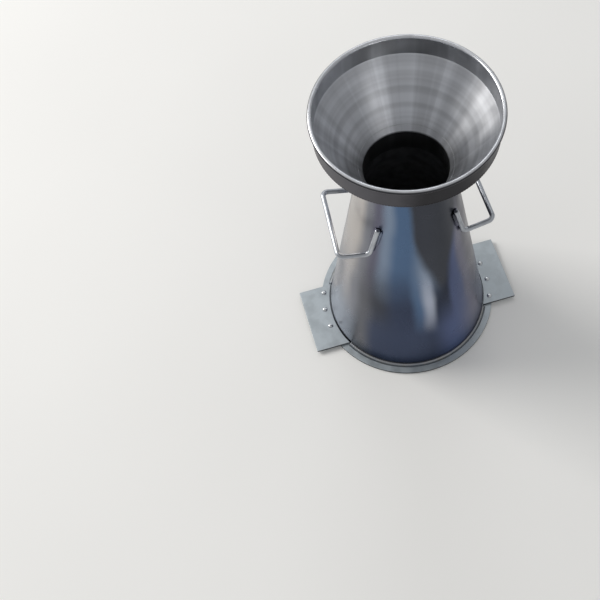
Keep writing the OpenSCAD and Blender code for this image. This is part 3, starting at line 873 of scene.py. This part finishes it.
class SLUMP_OT_funnel(Operator):
    """Spins the funnel's bowl and neck, rolls its rim band and lays their welds"""

    bl_idname = "slump.funnel"
    bl_label = "Funnel"

    def execute(self, context):
        sizes = context.scene.slump_sizes
        edge = sizes.sheet_round
        low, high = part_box("funnel_bowl")
        foot_in, foot_out = level_radii("funnel_bowl", top=False)
        rim_r = level_radii("funnel_bowl", top=True)[1]
        under_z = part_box("funnel_rim_band")[0].z
        corners = [(foot_in, low.z), (foot_out, low.z), (rim_r, under_z), (rim_r, high.z)]
        # The bowl's outside faces take the darkened copy of the spun steel, painted shade
        bowl = dressed(spun(outline(corners, [edge, edge / 2, CRISP, CRISP])), outward)
        piece("bowl", bowl, [spun_sheet_steel, spun_steel_painted_shade], "funnel", "funnel_bowl")
        neck_low, neck_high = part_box("funnel_neck")
        neck_in, neck_out = level_radii("funnel_neck", top=False)
        corners = [(neck_in, neck_low.z), (neck_out, neck_low.z), (neck_out, neck_high.z), (neck_in, neck_high.z)]
        neck = spun(outline(corners, [edge, edge, CRISP, CRISP]))
        # The neck takes the darkened copy of the spun steel throughout, painted shade
        piece("neck", neck, [spun_steel_painted_shade], "funnel", "funnel_neck")
        lean = atan((rim_r - foot_in) / (high.z - low.z))
        self.neck_weld(sizes, foot_in, low.z, lean)
        self.rim(sizes)
        return {"FINISHED"}

    def neck_weld(self, sizes, foot_r, foot_z, lean):
        """The weld between bowl and neck, dressed flush on the inside: a thin skin that climbs up the bowl."""
        proud, climb, sunk = sizes.dressed_rise, sizes.neck_weld_height, 0.4 * MM
        root_h, toe_h, over_h, corner_round = 1.8 * MM, 1.2 * MM, 0.6 * MM, 2 * MM
        # The upper edge is feathered out
        feather = 0.3 * proud
        climb_r, climb_z = foot_r + climb * tan(lean), foot_z + climb
        corners = [
            (foot_r + sunk, foot_z - root_h), (foot_r - proud, foot_z - toe_h), (foot_r - proud, foot_z),
            (climb_r - feather * cos(lean), climb_z + feather * sin(lean)),
            (climb_r + sunk, climb_z + over_h)]
        bm = spun(outline(corners, [0, proud / 2, corner_round, proud / 2, 0]))
        piece("neck_weld", bm, [spun_sheet_steel], "funnel", "funnel_neck_weld")

    def rim(self, sizes, roll_turn=radians(285), roll_steps=30):
        """The strip round the bowl's edge with its top rolled outwards, the bead under it and its butt weld."""
        node = "funnel_rim_band"
        low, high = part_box(node)
        band_in, band_out = level_radii(node, top=False)
        thick = band_out - band_in
        roll_r = sizes.rim_roll / 2
        hub = Vector((max(p.xy.length for p in points_of(node)) - roll_r, 0, high.z - roll_r))
        # The section: a strip drawn up to the roll, then round it
        bm = bmesh.new()
        across = bm.edges.new([bm.verts.new((r, 0, low.z)) for r in (band_in, band_out)])
        drawn = bmesh.ops.extrude_edge_only(bm, edges=[across])["geom"]
        top = sorted(only(BMVert, drawn), key=lambda v: v.co.x)
        for vert, r in zip(top, (hub.x - roll_r, hub.x - roll_r + thick)):
            vert.co = (r, 0, hub.z)
        lip = [e for e in only(BMEdge, drawn) if set(e.verts) == set(top)]
        bmesh.ops.spin(bm, geom=top + lip, cent=hub, axis=(0, 1, 0), angle=roll_turn, steps=roll_steps)
        inner = [e for e in bm.edges if not e.is_boundary]
        bmesh.ops.delete(bm, geom=inner, context="EDGES_FACES")
        spun(bm)
        soften(bm, sizes.sheet_round)
        # Roll faces take the roll's finish with its painted shade; outward faces take the dark unpolished finish,
        # partly painted shade
        dressed(bm, lambda face: 2 if face.calc_center_median().z - hub.z > -TOUCH else outward(face))
        piece("rim_band", bm, [spun_sheet_steel, mill_sheet_and_painted_shade, roll_burnish_and_painted_shade], "funnel", node)
        self.under_weld(sizes, band_in, low.z)
        self.band_seam(sizes, hub, roll_r, band_in, band_out)

    def under_weld(self, sizes, at, z, sides=16):
        """The rippled bead all the way round under the rim band."""
        radius = sizes.rim_weld_diameter / 2
        count = round(tau * at / sizes.ripple_pitch)
        bm = bmesh.new()
        section_at = Matrix.Translation((at, 0, z - radius / 2)) @ Matrix.Rotation(pi / 2, 4, "X")
        bmesh.ops.create_circle(bm, cap_ends=False, segments=sides, radius=radius, matrix=section_at)
        spun(bm, steps=count * RIPPLE_STEPS)
        ripple(bm, sizes, lambda p: atan2(p.y, p.x) % tau / tau * count * sizes.ripple_pitch)
        # The bead under the rim takes the dark unpolished finish, partly painted shade
        piece("under_rim_weld", bm, [mill_sheet_and_painted_shade], "funnel", "funnel_rim_weld")

    def band_seam(self, sizes, hub, roll_r, band_in, band_out, over_turn=radians(250), over_steps=28):
        """The rim's dressed butt weld: up the band's outside, over the roll and a little way down inside."""
        low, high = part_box("rim_band_seam_weld")
        turn = atan2((low.y + high.y) / 2, (low.x + high.x) / 2)
        half = (band_out - band_in) / 2
        flat = sizes.dressed_rise / half
        inside_h = 9 * MM
        roll_foot = hub + Vector((-roll_r, 0, 0))
        outside = bead(Vector((band_out, 0, low.z)), Vector((band_out, 0, high.z)), half, sizes, flat)
        inside = bead(Vector((band_in, 0, hub.z - inside_h)), roll_foot, half, sizes, flat)
        over = bmesh.new()
        bmesh.ops.create_circle(over, cap_ends=False, segments=BEAD_SIDES, radius=half,
                                matrix=Matrix.Translation(roll_foot) @ Matrix.Diagonal((flat, 1, 1, 1)))
        bmesh.ops.spin(over, geom=over.verts[:] + over.edges[:], cent=hub, axis=(0, 1, 0), angle=over_turn,
                       steps=over_steps)
        capped(over)
        runs = [outside, inside, over]
        for number, run in enumerate(runs):
            for face in run.faces:
                face.material_index = number
        bm = joined(runs)
        bm.transform(Matrix.Rotation(turn, 4, "Z"))
        # The seam's runs up the band's outside and over the roll carry painted shade like the band and the roll
        piece("rim_band_seam", bm, [mill_sheet_and_painted_shade, spun_sheet_steel, roll_burnish_and_painted_shade], "funnel",
              "rim_band_seam_weld")


class SLUMP_OT_stage(Operator):
    """Lays the pale floor, hangs the soft lights and sets the camera"""

    bl_idname = "slump.stage"
    bl_label = "Stage"

    def execute(self, context):
        scene = context.scene
        stage = scene.slump_stage
        scene.view_settings.view_transform = "Standard"
        self.floor()
        self.lamp("key_light", place=(-2.56, 1.96, 2.2), aim=(0, 0, 0.2), size=2.0, power=stage.key_power,
                  code="#fffcf8")
        self.lamp("rear_light", place=(0.7, 3.0, 3.0), aim=(0, 0, 0.1), size=1.7, power=stage.rear_power,
                  code="#f8fbff")
        self.sky(scene, stage.sky)
        camera = bpy.data.cameras.new("camera")
        camera.lens = stage.lens
        camera.clip_start = 0.05
        stand = placed("camera", camera)
        sight = Vector(stage.camera_aim) - Vector(stage.camera_place)
        stand.location = stage.camera_place
        stand.rotation_mode = "QUATERNION"
        stand.rotation_quaternion = sight.to_track_quat("-Z", "Y") @ Quaternion((0, 0, 1), stage.camera_roll)
        scene.camera = stand
        return {"FINISHED"}

    def floor(self):
        """A wide flat floor that the mould stands on."""
        bm = bmesh.new()
        bmesh.ops.create_grid(bm, x_segments=8, y_segments=8, size=20)
        solid("floor", bm, [pale_floor])

    def lamp(self, name, place, aim, size, power, code):
        """One square soft light."""
        light = bpy.data.lights.new(name, "AREA")
        light.size = size
        light.energy = power
        light.color = linear(code)
        hung = placed(name, light)
        hung.location = place
        hung.rotation_euler = (Vector(aim) - Vector(place)).to_track_quat("-Z", "Y").to_euler()

    def sky(self, scene, strength):
        """Even light from all round, a little brighter overhead."""
        scene.world = bpy.data.worlds.new("soft_room")
        tree = blank_tree(scene.world)
        way = add(tree, "TexCoord").outputs["Generated"]
        height = add(tree, "SeparateXYZ", {"Vector": way}).outputs["Z"]
        shade = add(tree, "ValToRGB", {"Fac": height}, [(0.0, linear("#e4e6ea")), (1.0, linear("#ffffff"))])
        light = add(tree, "Background", {"Color": shade, "Strength": strength})
        add(tree, "OutputWorld", {"Surface": light})


class SLUMP_PT_panel(Panel):
    """Lists the pieces in the sidebar"""

    bl_idname = "SLUMP_PT_panel"
    bl_label = "Slump Cone"
    bl_space_type = "VIEW_3D"
    bl_region_type = "UI"
    bl_category = "Slump Cone"

    def draw(self, context):
        for operator in OPERATORS:
            self.layout.operator(operator.bl_idname)
        for group in (context.scene.slump_sizes, context.scene.slump_colours, context.scene.slump_stage):
            column = self.layout.column(align=True)
            for name in group.__annotations__:
                column.prop(group, name)


OPERATORS = (SLUMP_OT_mould_shell, SLUMP_OT_base_ring, SLUMP_OT_foot_plates, SLUMP_OT_handles, SLUMP_OT_funnel,
             SLUMP_OT_stage)
GROUPS = {"slump_sizes": SlumpConeSizes, "slump_colours": SlumpConeColours, "slump_stage": SlumpConeStage}


def register():
    for kind in (*GROUPS.values(), *OPERATORS, SLUMP_PT_panel):
        bpy.utils.register_class(kind)
    for name, group in GROUPS.items():
        setattr(bpy.types.Scene, name, PointerProperty(type=group))


def unregister():
    for name in GROUPS:
        delattr(bpy.types.Scene, name)
    for kind in (SLUMP_PT_panel, *reversed(OPERATORS), *reversed(GROUPS.values())):
        bpy.utils.unregister_class(kind)


def main():
    register()
    bpy.ops.slump.mould_shell()
    bpy.ops.slump.base_ring()
    bpy.ops.slump.foot_plates()
    bpy.ops.slump.handles()
    bpy.ops.slump.funnel()
    bpy.ops.slump.stage()


if __name__ == "__main__":
    main()
